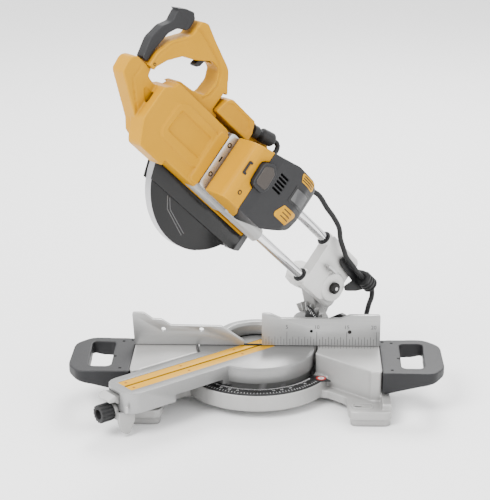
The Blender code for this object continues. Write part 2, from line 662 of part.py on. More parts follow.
def build_arbor(head, arbor):
    teeth = []
    count = 36
    for i in range(count):
        for part, r in ((0.0, BLADE_R), (0.3, BLADE_R - 0.6), (0.45, BLADE_R - 7), (0.85, BLADE_R - 5)):
            a = 2 * math.pi * (i + part) / count
            teeth.append((-r * math.cos(a), -r * math.sin(a)))
    blade = prism("saw_blade", teeth, "X", -0.9, 0.9, STEEL, arbor)
    cut(blade, rod("blade_bore", 8.2, "X", (0, 0), -5, 5, 20))
    spindle = [(0, -4), (7.9, -4), (7.9, 4.1), (9.6, 4.1), (9.6, 13), (8, 13), (8, 50), (6, 52), (0, 52)]
    turned("arbor_spindle", spindle, "X", (0, 0), 20, BLACK_STEEL, arbor)
    for name, low, high in (("inner_flange", 1.2, 3.8), ("outer_flange", -4.0, -1.2)):
        turned(name, [(8.2, low), (20, low), (20, high), (8.2, high)], "X", (0, 0), 24, STEEL, arbor)
    prism("arbor_bolt", arc(0, 0, 10, 0, 300, 5), "X", -8.2, -4.3, BLACK_STEEL, arbor)
    bearing = [(8.3, 20), (10.7, 20), (10.7, 32), (8.3, 32)]
    turned("arbor_bearing", bearing, "X", (BLADE_Y, BLADE_B), 20, STEEL, head)


def build_lower_guard(guard):
    """A U-section sector over the blade's lower half, with a hub ring on its right plate."""
    h, r = GUARD_HALF, GUARD_R
    section = [(70, -h), (r, -h), (r, h), (13, h), (13, h - 1.6), (r - 2, h - 1.6), (r - 2, 1.6 - h), (70, 1.6 - h)]
    shell = turned("lower_guard", section, "X", (0, 0), 28, BLACK, guard, sweep=(198, 338))
    hub = turned("guard_hub", [(13, h - 1.6), (24, h - 1.6), (24, h), (13, h)], "X", (0, 0), 24)
    return add(shell, hub)


def build_fixed_guard(head):
    """The black skirt either side of the blade, below the yellow cover."""
    outer = [(-432, -36), (-421, -62), (-214, -62), (-205.3, -58), (-205.3, -34.3), (-432, -34.3)]
    skirt = prism("fixed_guard", outer, "X", -11, 11, BLACK, head)
    cut(skirt, block("fixed_guard_hollow", (-8.7, 8.7), (-450, -207.5), (-80, 0)))
    deflector = rounded([(-204.7, -60), (-194, -55, 3), (-194, -23, 3), (-204.7, -23)], 2)
    prism("chip_deflector", deflector, "X", -14, 11.5, GREY, head)
    return skirt


def guard_space(name):
    return rod(name, GUARD_R + 2.5, "X", (BLADE_Y, BLADE_B), -8.7, 8.7, 48)


def build_upper_guard(head):
    """The yellow cover: a box in front, a round hood over the blade and the duct on the hood's side."""
    arc_part = arc(BLADE_Y, BLADE_B, GUARD_R + 6, 110, -16, 16)
    hood = prism("upper_guard", [(-440, -34), (-440, 74), (-427, 78), (-427, 108), *arc_part], "X", -13, 13, YELLOW, head)
    face = rounded([(-497, -43, 10), (COVER_BACK, -43, 8), (COVER_BACK, 69, 10), (-505, 69, 20),
                    (COVER_FRONT, 50, 16), (COVER_FRONT, -8, 18)], 3)
    add(hood, prism("cover_box", face, "X", 10, 43))
    nose = [(-585, 54, 12), (-582, 28, 8), (-514, -13, 8), (-500, -27, 6), (-484, -31), (-436, -31), (-436, 60)]
    add(hood, prism("cover_nose", rounded([*nose, (-575, 60, 6)], 2), "X", -8, 22))
    duct = rounded([(-410, 79, 3), (-404, 104, 4), (-396, 112, 6), (-336, 112, 3), (-326, 94, 3), (-326, 79, 3)], 2)
    add(hood, prism("cable_duct", duct, "X", 12, 37))
    cut(hood, guard_space("guard_space"), block("cover_mouth", (-8.7, 8.7), (-437.5, -207.5), (-80, 0)))
    cut(hood, block("under_clear", (-40, 60), (-442.3, -190), (-90, -34)))
    notch = rounded([(-540, 49, 6), (-522, 46, 6), (-505, 58), (-500, 70), (-545, 70)], 2)
    cut(hood, prism("nose_notch", notch, "X", -20, 60))
    return cut(hood, block("box_hollow", (8, 40), (-498, -376), (-32, 58)),
               rod("flange_clear", 16, "X", (BLADE_Y, BLADE_B), 5, 40, 20))


def build_handle(head):
    outer = [(-553, 60.3), (-554, 84, 20), (-544, 112, 20), (-520.5, 140, 8), (-520, 167, 6), (-507, 172, 10)]
    outer += [(-482, 162, 20), (-428, 144, 26), (-401, 111, 16), (-397, 69.3), (-503, 69.3), (-514, 60.3)]
    inner = rounded([(-541, 55), (-541, 66, 8), (-531, 85, 14), (-512, 107, 6), (-488, 117, 4), (-463, 134, 6), (-444, 134, 10),
                     (-435, 116, 10), (-437, 86, 12), (-465, 79, 10), (-492, 76, 6), (-499, 66, 4), (-501, 55)], 3)
    grip = prism("main_handle", rounded(outer, 3), "X", -4, 28, YELLOW, head)
    cut(grip, prism("handle_opening", inner, "X", -20, 60))
    cut(grip, block("trigger_slot", (5, 19), (-483, -455), (100, 147)))
    cut(grip, block("hood_clear", (-20, 13.3), (-427.3, -380), (60, 112.3)))
    cut(grip, block("hood_front_clear", (-20, 13.3), (-440.3, -420), (60, 78.3)))
    cut(grip, block("duct_clear", (13, 60), (-410.3, -380), (78.7, 112.3)))
    return grip


def build_controls(head):
    trigger_axis = empty("trigger_axis", head, (12, -463, 138))
    shape = [(-18, -26, 2), (-11, -25, 3), (-7, -20), (-5, -10), (3, -4), (3, 2), (-12, 2), (-14, -8), (-16, -18)]
    prism("trigger", rounded(shape, 2), "X", -6.6, 6.6, DARK, trigger_axis)
    lever_axis = empty("guard_lever_axis", head, (12, -561, 68))
    bow = [(5, -4, 3), (-5, -4, 3), (-13, 26, 20), (-8, 52, 12), (2, 68, 6), (-1, 86, 3), (9, 93, 5), (34, 97, 4)]
    bow += [(35, 78, 6), (28, 72, 4), (16, 65, 10), (8, 50, 12), (4.5, 16)]
    lever = prism("guard_release_lever", rounded(bow, 3), "X", -9, 9, DARK, lever_axis)
    rest = [(-5, 88), (9, 97), (24, 102), (32, 96), (33, 76), (30, 72), (27, 86), (10, 86)]
    add(lever, prism("thumb_rest", rest, "X", -9, 10))
    button_axis = empty("spindle_lock_axis", head, (25, BLADE_Y + 4, 72))
    button = [(0, -11), (4, -11), (4, 3.6), (7, 3.6), (7, 7), (6, 8), (0, 8)]
    return turned("spindle_lock_button", button, "Z", (0, 0), 14, BLACK, button_axis)


# ---- cord ----


def build_held_cord(head):
    """The cord from the strain relief behind the handle, along the motor to the guide on the carrier."""
    sleeve = [(0, 3.2), (10, 3.2), (10, 14), (6, 17), (6, 23), (11.6, 26), (11.6, 48), (8, 52), (0, 52)]
    turned("switch_cable_gland", sleeve, "Y", (0, 0), 16, RUBBER, empty("gland_axis", head, (25, -325.7, 101), ("X", 14)))
    route = [(25, -274.6, 113.8), (26, -268, 115.3), (28, -262.5, 112), (29, -260.5, 104), (30, -261.5, 94)]
    route += [(31, -257, 84), (33.5, -245, 78.5), (34.5, -225, 78), (35.5, -203, 83), (37, -178, 90), (39, -154, 97)]
    route += [(42, -139.5, 98), (45, -113.5, 91.4), (48, -94.5, 87.6), (51, -72.5, 80), (53, -57.7, 67.3)]
    route += [(55, -38, 56.8), (56.5, -26, 50.5), (57.5, -2, 47), (58, 14, 44.5), (CABLE_X, GUIDE_FRONT - 0.4, CABLE_B)]
    cord("motor_cord", smooth_line(route, 60), CORD_R, RUBBER, head)


def build_free_cord(frame):
    """The mains cord from the carrier's guide down to the bench, then its coil and plug. frame is the guide's."""
    guide = [(CABLE_X, GUIDE_BACK + GAP, CABLE_B), (CABLE_X, 66, 40), (CABLE_X, 75, 30), (CABLE_X, 80, 15)]
    held = [frame @ (Vector(p) * MM) / MM for p in guide]
    route = [*held, (184, 87, 84), (187, 103, 50), (185, 118, 22), (174, 132, 8), (152, 154, 4.6), (131, 185, 4.6)]
    cord("mains_cord", smooth_line(route, 40), CORD_R, RUBBER)
    inner_r = COIL_R - COIL_WIDE
    ring = rounded([(inner_r, 0.0, 8), (COIL_R, 0.0, 8), (COIL_R, COIL_HIGH, 8), (inner_r, COIL_HIGH, 8)], 2)
    turned("cord_coil", ring, "Z", COIL_CENTRE, 36, RUBBER)


def build_plug():
    """A plug lying on the bench beside the coil, its pins pointing left."""
    body = [(0, -24), (15, -24), (17, -6), (12, 6), (7, 10), (5.5, 26), (0, 26)]
    plug = turned("mains_plug", body, "X", (COIL_CENTRE[1] - 14, 17.5), 16, BLACK)
    plug.location.x = (COIL_CENTRE[0] - COIL_R - 82.5) * MM
    for z in (12, 23):
        add(plug, rod(f"plug_pin_{z}", 2.2, "X", (COIL_CENTRE[1] - 14, z), -42, -22, 10))
    return plug


def main():
    build_base()
    build_scale_plate()
    build_fence()
    for name, side in (("side_handle_right", 1), ("side_handle_left", -1)):
        side_handle(name, side)
    arm = empty("mitre_axis", turn=("Z", MITRE_DEG))
    build_turntable(arm)
    build_front_bracket(arm)
    for side in (1, -1):
        build_insert(arm, side)
    build_mitre_lock(arm)
    build_pivot_bolt(arm)
    bevel = empty("bevel_axis", arm, (0, 0, TABLE_Z))
    build_bevel_support(bevel)
    build_bevel_fittings(arm, bevel)
    chop = empty("chop_axis", bevel, (0, HINGE_BACK, HINGE_UP), ("X", -RAISE_DEG))
    build_carrier(chop)
    build_carrier_fittings(chop)
    head = empty("slide_axis", chop)
    build_rails(head)
    build_gear_case(head)
    build_motor(head)
    build_motor_internals(head, empty("armature_axis", head, (MOTOR_X, 0, MOTOR_B)))
    arbor = empty("arbor_axis", head, (0, BLADE_Y, BLADE_B))
    build_gears(arbor, empty("layshaft_axis", head, (0, BLADE_Y, BLADE_B + GEAR_DISTANCE)))
    build_arbor(head, arbor)
    build_lower_guard(empty("lower_guard_axis", head, (0, BLADE_Y, BLADE_B)))
    build_fixed_guard(head)
    build_upper_guard(head)
    build_handle(head)
    build_controls(head)
    build_held_cord(head)
    bpy.context.view_layer.update()
    build_free_cord(chop.matrix_world)
    build_plug()


main()
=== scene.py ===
"""The looks of the sliding mitre saw: camera, light, materials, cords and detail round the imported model.

Sizes are in millimetres until a piece is made. Three frames are used, as in the CAD: WORLD, ARM (turned by
the mitre) and HEAD (at the chop hinge: x to the operator's right, y back along the rails, z up from them).
"""

import math

import bmesh
import bpy
from mathutils import Matrix, Vector


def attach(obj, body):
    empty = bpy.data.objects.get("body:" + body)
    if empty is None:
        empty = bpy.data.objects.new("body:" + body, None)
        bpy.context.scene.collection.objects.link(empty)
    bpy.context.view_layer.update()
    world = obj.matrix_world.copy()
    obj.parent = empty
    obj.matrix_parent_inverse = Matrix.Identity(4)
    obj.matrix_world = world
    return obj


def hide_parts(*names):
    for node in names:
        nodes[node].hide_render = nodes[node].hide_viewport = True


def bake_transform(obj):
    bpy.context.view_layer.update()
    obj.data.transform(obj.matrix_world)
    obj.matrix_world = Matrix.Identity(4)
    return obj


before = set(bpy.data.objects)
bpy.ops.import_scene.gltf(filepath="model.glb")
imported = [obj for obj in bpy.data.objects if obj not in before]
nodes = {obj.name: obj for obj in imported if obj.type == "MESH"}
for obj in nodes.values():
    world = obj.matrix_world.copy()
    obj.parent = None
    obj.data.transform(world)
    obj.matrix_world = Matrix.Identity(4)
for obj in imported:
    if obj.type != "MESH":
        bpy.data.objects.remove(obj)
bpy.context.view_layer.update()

MM = 0.001
WORLD = Matrix.Identity(4)
ARM = Matrix.Rotation(math.radians(-50), 4, "Z")
HEAD = ARM @ Matrix.Translation((0, 131, 164)) @ Matrix.Rotation(math.radians(-44), 4, "X")
TABLE_Z = 78.0

# ---- camera ----

LENS_PX = 1544.0  # focal length in pixels of the rendered frame
DISTANCE = 2.6
ELEVATION = math.radians(22.5)
AZIMUTH = math.radians(1.3)
TARGET = Vector((0, 0, 0.078))
TARGET_LEFT = math.atan(12.0 / LENS_PX)
TARGET_DOWN = math.atan(95.7 / LENS_PX)


def build_camera():
    """A long lens that looks down on the saw from the front."""
    data = bpy.data.cameras.new("camera")
    data.sensor_width = 36.0
    data.lens = LENS_PX / 500 * 36
    camera = bpy.data.objects.new("camera", data)
    bpy.context.scene.collection.objects.link(camera)
    level = math.cos(ELEVATION)
    out = Vector((math.sin(AZIMUTH) * level, -math.cos(AZIMUTH) * level, math.sin(ELEVATION)))
    camera.location = TARGET + out * DISTANCE
    look = (-out).to_track_quat("-Z", "Y").to_matrix().to_4x4()
    look = look @ Matrix.Rotation(TARGET_LEFT, 4, "Y") @ Matrix.Rotation(TARGET_DOWN, 4, "X")
    camera.rotation_euler = look.to_euler()
    bpy.context.scene.camera = camera


build_camera()


# ---- materials ----


def skin(name, colour, rough, metallic=0.0, vary=0.05, grain=700.0, bump=0.12, edge_wear_and_highlight=None, streak=None,
         coat=0.0,
         round_edge=0.0006, hollow_shade=None, shine=0.5):
    """A moulded, cast or machined surface: cloudy colour, fine grain in gloss and bump, sharp edges lightened
    partly as wear and partly as painted highlight, hollows darkened with painted shade.
    """
    made = bpy.data.materials.new(name)
    made.use_nodes = True
    tree = made.node_tree
    shader = tree.nodes["Principled BSDF"]
    shader.inputs["Metallic"].default_value = metallic
    shader.inputs["Coat Weight"].default_value = coat
    shader.inputs["Coat Roughness"].default_value = 0.12
    shader.inputs["Specular IOR Level"].default_value = shine

    def node(kind, **inputs):
        one = tree.nodes.new(kind)
        for key, value in inputs.items():
            one.inputs[key.replace("_", " ")].default_value = value
        return one

    def ramp(source, low, high, to_low, to_high):
        one = node("ShaderNodeMapRange", From_Min=low, From_Max=high, To_Min=to_low, To_Max=to_high)
        tree.links.new(source, one.inputs["Value"])
        return one.outputs["Result"]

    def mix(factor, first, second, blend="MIX"):
        one = tree.nodes.new("ShaderNodeMix")
        one.data_type = "RGBA"
        one.blend_type = blend
        tree.links.new(factor, one.inputs[0])
        for value, socket in ((first, one.inputs[6]), (second, one.inputs[7])):
            if isinstance(value, tuple):
                socket.default_value = (*value, 1.0)
            else:
                tree.links.new(value, socket)
        return one.outputs[2]

    place = tree.nodes.new("ShaderNodeTexCoord").outputs["Object"]
    clouds = node("ShaderNodeTexNoise", Scale=22.0, Detail=4.0, Roughness=0.6)
    tree.links.new(place, clouds.inputs["Vector"])
    fine = node("ShaderNodeTexNoise", Scale=grain, Detail=2.0, Roughness=0.55)
    tree.links.new(place, fine.inputs["Vector"])
    dark = tuple(c * (1 - vary) for c in colour)
    light = tuple(min(1.0, c * (1 + vary)) for c in colour)
    tone = mix(ramp(clouds.outputs["Fac"], 0.3, 0.7, 0.0, 1.0), dark, light)
    speckle = tuple(c * (1 - 1.4 * vary) for c in colour)
    tone = mix(ramp(fine.outputs["Fac"], 0.56, 0.75, 0.0, 0.8), tone, speckle)
    height = fine.outputs["Fac"]
    if streak:
        lay = node("ShaderNodeMapping")
        lay.inputs["Rotation"].default_value = (0.0, 0.0, streak)
        lay.inputs["Scale"].default_value = (14.0, 900.0, 900.0)
        tree.links.new(place, lay.inputs["Vector"])
        lines = node("ShaderNodeTexNoise", Scale=1.0, Detail=3.0, Roughness=0.6)
        tree.links.new(lay.outputs["Vector"], lines.inputs["Vector"])
        tone = mix(ramp(lines.outputs["Fac"], 0.35, 0.65, 0.0, 0.5), tone, tuple(c * 0.82 for c in colour))
        height = lines.outputs["Fac"]
    # painted shade: ambient occlusion blends the colour towards a darker one in hollows, creases and corners
    if hollow_shade:
        hollow = tree.nodes.new("ShaderNodeAmbientOcclusion")
        hollow.samples = 4
        hollow.inputs["Distance"].default_value = 0.012
        tone = mix(ramp(hollow.outputs["AO"], 0.35, 0.95, 0.75, 0.0), tone, hollow_shade)
    # sharp edges lightened where pointiness is high: partly wear, partly painted highlight
    if edge_wear_and_highlight:
        shape = tree.nodes.new("ShaderNodeNewGeometry")
        tone = mix(ramp(shape.outputs["Pointiness"], 0.52, 0.6, 0.0, 0.7), tone, edge_wear_and_highlight)
    tree.links.new(tone, shader.inputs["Base Color"])
    tree.links.new(ramp(height, 0.3, 0.7, rough - 0.05, rough + 0.06), shader.inputs["Roughness"])
    rounding = tree.nodes.new("ShaderNodeBevel")
    rounding.samples = 4
    rounding.inputs["Radius"].default_value = round_edge
    relief = node("ShaderNodeBump", Strength=bump, Distance=0.0003)
    tree.links.new(height, relief.inputs["Height"])
    tree.links.new(rounding.outputs["Normal"], relief.inputs["Normal"])
    tree.links.new(relief.outputs["Normal"], shader.inputs["Normal"])
    return made


# In these finishes the darker colour given for hollows is painted shade.
# The lighter colour given for sharp edges in these finishes is partly wear and partly painted highlight.
YELLOW = skin("yellow_moulding", (0.42, 0.20, 0.0), 0.42, vary=0.04, bump=0.05, edge_wear_and_highlight=(0.56, 0.30, 0.005),
              coat=0.0,
              hollow_shade=(0.20, 0.07, 0.0), shine=0.12)
# A darker, shaded copy of the yellow moulding: painted shade.
SHADED_YELLOW = skin("yellow_moulding_painted_shade", (0.24, 0.085, 0.0), 0.45, vary=0.05, bump=0.05, shine=0.12)
CAST = skin("silver_paint", (0.31, 0.307, 0.30), 0.42, metallic=0.25, vary=0.05, grain=500.0, bump=0.16,
            edge_wear_and_highlight=(0.55, 0.55, 0.545), hollow_shade=(0.13, 0.128, 0.124))
PALE = skin("pale_silver_paint", (0.58, 0.575, 0.56), 0.38, metallic=0.2, vary=0.04, grain=500.0, bump=0.12,
            edge_wear_and_highlight=(0.8, 0.8, 0.79), hollow_shade=(0.22, 0.218, 0.21))
TABLE = skin("machined_table", (0.20, 0.20, 0.197), 0.36, metallic=0.55, vary=0.05, streak=0.6, bump=0.08,
             edge_wear_and_highlight=(0.45, 0.45, 0.45), hollow_shade=(0.11, 0.11, 0.11))
FENCE = skin("machined_fence", (0.29, 0.29, 0.285), 0.38, metallic=0.6, vary=0.05, streak=0.001, bump=0.08,
             edge_wear_and_highlight=(0.52, 0.52, 0.52))
CHROME = skin("hard_chrome", (0.72, 0.72, 0.73), 0.13, metallic=1.0, vary=0.02, grain=1500.0, bump=0.02)
STEEL = skin("bright_steel", (0.42, 0.42, 0.43), 0.30, metallic=0.9, vary=0.06, grain=900.0, bump=0.08)
ZINC = skin("zinc_plate", (0.46, 0.46, 0.455), 0.30, metallic=0.8, vary=0.05, grain=600.0, bump=0.08)
BLACK_STEEL = skin("blacked_steel", (0.014, 0.0135, 0.013), 0.38, metallic=0.7, vary=0.2, grain=700.0,
                   bump=0.1)
DARK = skin("charcoal_moulding", (0.013, 0.013, 0.0142), 0.48, vary=0.10, grain=900.0, bump=0.22,
            edge_wear_and_highlight=(0.06, 0.06, 0.062), hollow_shade=(0.004, 0.004, 0.0045), shine=0.25)
BROWN = skin("smoked_moulding", (0.022, 0.0165, 0.0135), 0.42, vary=0.10, grain=900.0, bump=0.18,
             edge_wear_and_highlight=(0.07, 0.06, 0.052), shine=0.3)
GREY = skin("grey_moulding", (0.05, 0.05, 0.052), 0.5, vary=0.08, grain=900.0, bump=0.2,
            edge_wear_and_highlight=(0.12, 0.12, 0.12), shine=0.3)
GLOSS = skin("gloss_black", (0.003, 0.003, 0.0032), 0.2, vary=0.15, grain=1200.0, bump=0.02, coat=0.1,
             edge_wear_and_highlight=(0.02, 0.02, 0.02), shine=0.2)
BLACK = skin("black_moulding", (0.006, 0.006, 0.0065), 0.4, vary=0.15, grain=900.0, bump=0.12,
             edge_wear_and_highlight=(0.03, 0.03, 0.03),
             shine=0.25)
# Black that stands in for the shade inside holes, slots and gaps: painted shade.
PAINTED_SHADE_BLACK = skin("painted_shade_black", (0.002, 0.002, 0.002), 0.7, vary=0.2, bump=0.05, shine=0.1)
PRINT = skin("white_print", (0.55, 0.55, 0.55), 0.5, vary=0.05, bump=0.03)
INK = skin("grey_print", (0.06, 0.06, 0.062), 0.5, vary=0.1, bump=0.03)
RED = skin("red_print", (0.33, 0.012, 0.008), 0.45, vary=0.06, bump=0.03)
RUBBER = skin("black_rubber", (0.008, 0.008, 0.0085), 0.55, vary=0.12, grain=1000.0, bump=0.15,
              edge_wear_and_highlight=(0.03, 0.03, 0.03), shine=0.25)
SPRING = skin("spring_steel", (0.2, 0.2, 0.205), 0.32, metallic=0.9, vary=0.08, bump=0.06)
COPPER = skin("copper_wire", (0.30, 0.10, 0.04), 0.35, metallic=0.9, vary=0.12, grain=900.0, bump=0.2)


# ---- outlines and solids ----


def rounded(points, steps=4):
    """An outline whose corners (u, v, radius) are rounded; a corner may leave its radius out."""
    made = []
    count = len(points)
    for i, corner in enumerate(points):
        here = Vector(corner[:2])
        radius = corner[2] if len(corner) > 2 else 0.0
        if radius <= 0.0:
            made.append(tuple(here))
            continue
        before = (Vector(points[i - 1][:2]) - here).normalized()
        after = (Vector(points[(i + 1) % count][:2]) - here).normalized()
        half = before.angle(after) / 2
        centre = here + (before + after).normalized() * radius / math.sin(half)
        first = here + before * radius / math.tan(half) - centre
        last = here + after * radius / math.tan(half) - centre
        start = math.atan2(first.y, first.x)
        swing = (math.atan2(last.y, last.x) - start + math.pi) % (2 * math.pi) - math.pi
        for k in range(steps + 1):
            angle = start + swing * k / steps
            made.append((centre.x + radius * math.cos(angle), centre.y + radius * math.sin(angle)))
    return made


def rectangle(u0, u1, v0, v1, radius=0.0):
    """An outline, with rounded corners where radius is given."""
    return rounded([(u0, v0, radius), (u1, v0, radius), (u1, v1, radius), (u0, v1, radius)])


def place_point(axis, u, v, w):
    """The point whose axis coordinate is w and whose other two are u and v."""
    return {"X": (w, u, v), "Y": (u, w, v), "Z": (u, v, w)}[axis]


def prism(bm, outline, axis, low, high):
    """An outline pushed along an axis from low to high."""
    rings = [[bm.verts.new(place_point(axis, u, v, w)) for u, v in outline] for w in (low, high)]
    count = len(outline)
    for i in range(count):
        j = (i + 1) % count
        bm.faces.new((rings[0][i], rings[0][j], rings[1][j], rings[1][i]))
    bm.faces.new(rings[0])
    bm.faces.new(list(reversed(rings[1])))


def frame_ring(bm, outer, inner, axis, low, high):
    """A flat ring between two outlines that have the same number of points."""
    loops = [
        [bm.verts.new(place_point(axis, u, v, w)) for u, v in line]
        for w in (low, high)
        for line in (outer, inner)
    ]
    count = len(outer)
    for i in range(count):
        j = (i + 1) % count
        for a, b in ((0, 1), (1, 3), (3, 2), (2, 0)):
            bm.faces.new((loops[a][i], loops[a][j], loops[b][j], loops[b][i]))


def turned(bm, profile, axis, centre, steps=32, sweep=(0.0, 360.0)):
    """A profile of (radius, along) points spun round a line parallel to an axis."""
    whole = abs(sweep[1] - sweep[0]) > 359.9
    rings = []
    for i in range(steps if whole else steps + 1):
        angle = math.radians(sweep[0] + (sweep[1] - sweep[0]) * i / steps)
        u, v = math.cos(angle), math.sin(angle)
        rings.append(
            [bm.verts.new(place_point(axis, centre[0] + r * u, centre[1] + r * v, w)) for r, w in profile]
        )
    count = len(profile)
    for i in range(steps):
        here, after = rings[i], rings[(i + 1) % len(rings)]
        for k in range(count):
            m = (k + 1) % count
            if profile[k][0] or profile[m][0]:
                bm.faces.new((here[k], here[m], after[m], after[k]))
    if not whole:
        bm.faces.new(rings[0])
        bm.faces.new(rings[-1])


def box(bm, x, y, z):
    """A plain block between the pairs x, y and z."""
    prism(bm, [(x[0], y[0]), (x[1], y[0]), (x[1], y[1]), (x[0], y[1])], "Z", z[0], z[1])


def mesh_object(name, mesh, finish, body=None):
    """A mesh with its finish, linked, and riding on body where one is given."""
    mesh.materials.clear()
    mesh.materials.append(finish)
    made = bpy.data.objects.new(name, mesh)
    bpy.context.scene.collection.objects.link(made)
    if body:
        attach(made, body)
    return made


def piece(name, body, finish, matrix, builder, bevel=0.4, angle=30):
    """A detail piece: builder fills a bmesh in millimetres of the matrix's frame."""
    bm = bmesh.new()
    builder(bm)
    bmesh.ops.remove_doubles(bm, verts=bm.verts, dist=1e-4)
    bmesh.ops.recalc_face_normals(bm, faces=bm.faces)
    bmesh.ops.transform(bm, matrix=Matrix.Scale(MM, 4) @ matrix, verts=bm.verts)
    mesh = bpy.data.meshes.new(name)
    bm.to_mesh(mesh)
    bm.free()
    mesh.shade_smooth()
    mesh.set_sharp_from_angle(angle=math.radians(35))
    made = mesh_object(name, mesh, finish, body)
    if bevel:
        step = made.modifiers.new("edges", "BEVEL")
        step.width = bevel * MM
        step.segments = 2
        step.limit_method = "ANGLE"
        step.angle_limit = math.radians(angle)
        step.harden_normals = True
    return made


def cutter(matrix, builder):
    """A hidden solid that a moulded shell is cut by or joined with."""
    bm = bmesh.new()
    builder(bm)
    bmesh.ops.remove_doubles(bm, verts=bm.verts, dist=1e-4)
    bmesh.ops.recalc_face_normals(bm, faces=bm.faces)
    bmesh.ops.transform(bm, matrix=Matrix.Scale(MM, 4) @ matrix, verts=bm.verts)
    mesh = bpy.data.meshes.new("cutter")
    bm.to_mesh(mesh)
    bm.free()
    made = bpy.data.objects.new("cutter", mesh)
    bpy.context.scene.collection.objects.link(made)
    return made


def tube_mesh(points, radius, sides=12):
    """A closed round tube along points, in the points' own unit, with rings that don't twist."""
    bm = bmesh.new()
    count = len(points)
    side = None
    rings = []
    for i, point in enumerate(points):
        along = (points[min(i + 1, count - 1)] - points[max(i - 1, 0)]).normalized()
        if side is None:
            side = along.orthogonal().normalized()
        side = (side - along * side.dot(along)).normalized()
        other = along.cross(side)
        ring = []
        for k in range(sides):
            angle = 2 * math.pi * k / sides
            ring.append(bm.verts.new(point + (side * math.cos(angle) + other * math.sin(angle)) * radius))
        rings.append(ring)
    for here, after in zip(rings, rings[1:]):
        for k in range(sides):
            m = (k + 1) % sides
            bm.faces.new((here[k], here[m], after[m], after[k]))
    bm.faces.new(rings[0])
    bm.faces.new(rings[-1])
    bmesh.ops.recalc_face_normals(bm, faces=bm.faces)
    mesh = bpy.data.meshes.new("tube")
    bm.to_mesh(mesh)
    bm.free()
    mesh.shade_smooth()
    mesh.set_sharp_from_angle(angle=math.radians(50))
    return mesh


def groove(matrix, points, radius):
    """A round cutter along points."""
    mesh = tube_mesh([matrix @ Vector(p) * MM for p in points], radius * MM)
    made = bpy.data.objects.new("groove", mesh)
    bpy.context.scene.collection.objects.link(made)
    return made


def text(name, body, words, finish, matrix, size, thick=0.12):
    """Raised generic numbers; matrix's x runs along the line and its z out of the face."""
    data = bpy.data.curves.new(name, "FONT")
    data.body = words
    data.size = size
    data.extrude = thick
    data.align_x = "CENTER"
    data.align_y = "CENTER"
    data.resolution_u = 3
    holder = bpy.data.objects.new(name, data)
    bpy.context.scene.collection.objects.link(holder)
    bpy.context.view_layer.update()
    mesh = bpy.data.meshes.new_from_object(holder.evaluated_get(bpy.context.evaluated_depsgraph_get()))
    bpy.data.objects.remove(holder)
    mesh.transform(Matrix.Scale(MM, 4) @ matrix)
    mesh.name = name
    return mesh_object(name, mesh, finish, body)


# ---- CAD nodes ----


def evaluated_mesh(obj):
    """The mesh of obj with its modifiers applied."""
    bpy.context.view_layer.update()
    return bpy.data.meshes.new_from_object(obj.evaluated_get(bpy.context.evaluated_depsgraph_get()))


def softened(name, source, body, finish, voxel=1.3, passes=6, cuts=(), joins=()):
    """A copy of a CAD solid with moulded detail added, its edges rounded, that takes the solid's place."""
    mesh = bpy.data.meshes.new_from_object(nodes[source])
    made = bpy.data.objects.new(name, mesh)
    bpy.context.scene.collection.objects.link(made)
    weld = made.modifiers.new("weld", "WELD")
    weld.merge_threshold = 1e-6
    for other, operation in [(o, "UNION") for o in joins] + [(o, "DIFFERENCE") for o in cuts]:
        step = made.modifiers.new("step", "BOOLEAN")
        step.operation = operation
        step.solver = "EXACT"
        step.object = other
    fine = made.modifiers.new("fine", "REMESH")
    fine.mode = "VOXEL"
    fine.voxel_size = voxel * MM
    fine.use_smooth_shade = True
    relax = made.modifiers.new("relax", "SMOOTH")
    relax.factor = 0.5
    relax.iterations = passes
    thin = made.modifiers.new("thin", "DECIMATE")
    thin.ratio = 0.45
    result = evaluated_mesh(made)
    for other in [*cuts, *joins, made]:
        bpy.data.objects.remove(other)
    result.name = name
    result.shade_smooth()
    made = mesh_object(name, result, finish, body)
    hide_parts(source)
    return made


def smooth_group():
    """Shades smooth, with sharp edges over 32 degrees."""
    group = bpy.data.node_groups.new("smooth_by_angle", "GeometryNodeTree")
    group.interface.new_socket("Geometry", in_out="INPUT", socket_type="NodeSocketGeometry")
    group.interface.new_socket("Geometry", in_out="OUTPUT", socket_type="NodeSocketGeometry")
    start = group.nodes.new("NodeGroupInput")
    end = group.nodes.new("NodeGroupOutput")
    faces = group.nodes.new("GeometryNodeSetShadeSmooth")
    edges = group.nodes.new("GeometryNodeSetShadeSmooth")
    edges.domain = "EDGE"
    edges.inputs["Shade Smooth"].default_value = False
    bend = group.nodes.new("GeometryNodeInputMeshEdgeAngle")
    over = group.nodes.new("FunctionNodeCompare")
    over.data_type = "FLOAT"
    over.operation = "GREATER_THAN"
    over.inputs["B"].default_value = math.radians(32)
    group.links.new(bend.outputs["Unsigned Angle"], over.inputs["A"])
    group.links.new(start.outputs[0], faces.inputs["Geometry"])
    group.links.new(faces.outputs[0], edges.inputs["Geometry"])
    group.links.new(over.outputs["Result"], edges.inputs["Selection"])
    group.links.new(edges.outputs[0], end.inputs[0])
    return group


SMOOTH = smooth_group()


def dress(names, finish, width=0.8):
    """A CAD node keeps its shape and gets rounded edges and a material."""
    for name in names.split():
        node = nodes[name]
        node.data.materials.clear()
        node.data.materials.append(finish)
        weld = node.modifiers.new("weld", "WELD")
        weld.merge_threshold = 1e-6
        flat = node.modifiers.new("flat", "DECIMATE")
        flat.decimate_type = "DISSOLVE"
        flat.angle_limit = math.radians(1)
        if width:
            edges = node.modifiers.new("edges", "BEVEL")
            edges.width = width * MM
            edges.segments = 2
            edges.limit_method = "ANGLE"
            edges.angle_limit = math.radians(34)
        shading = node.modifiers.new("shading", "NODES")
        shading.node_group = SMOOTH


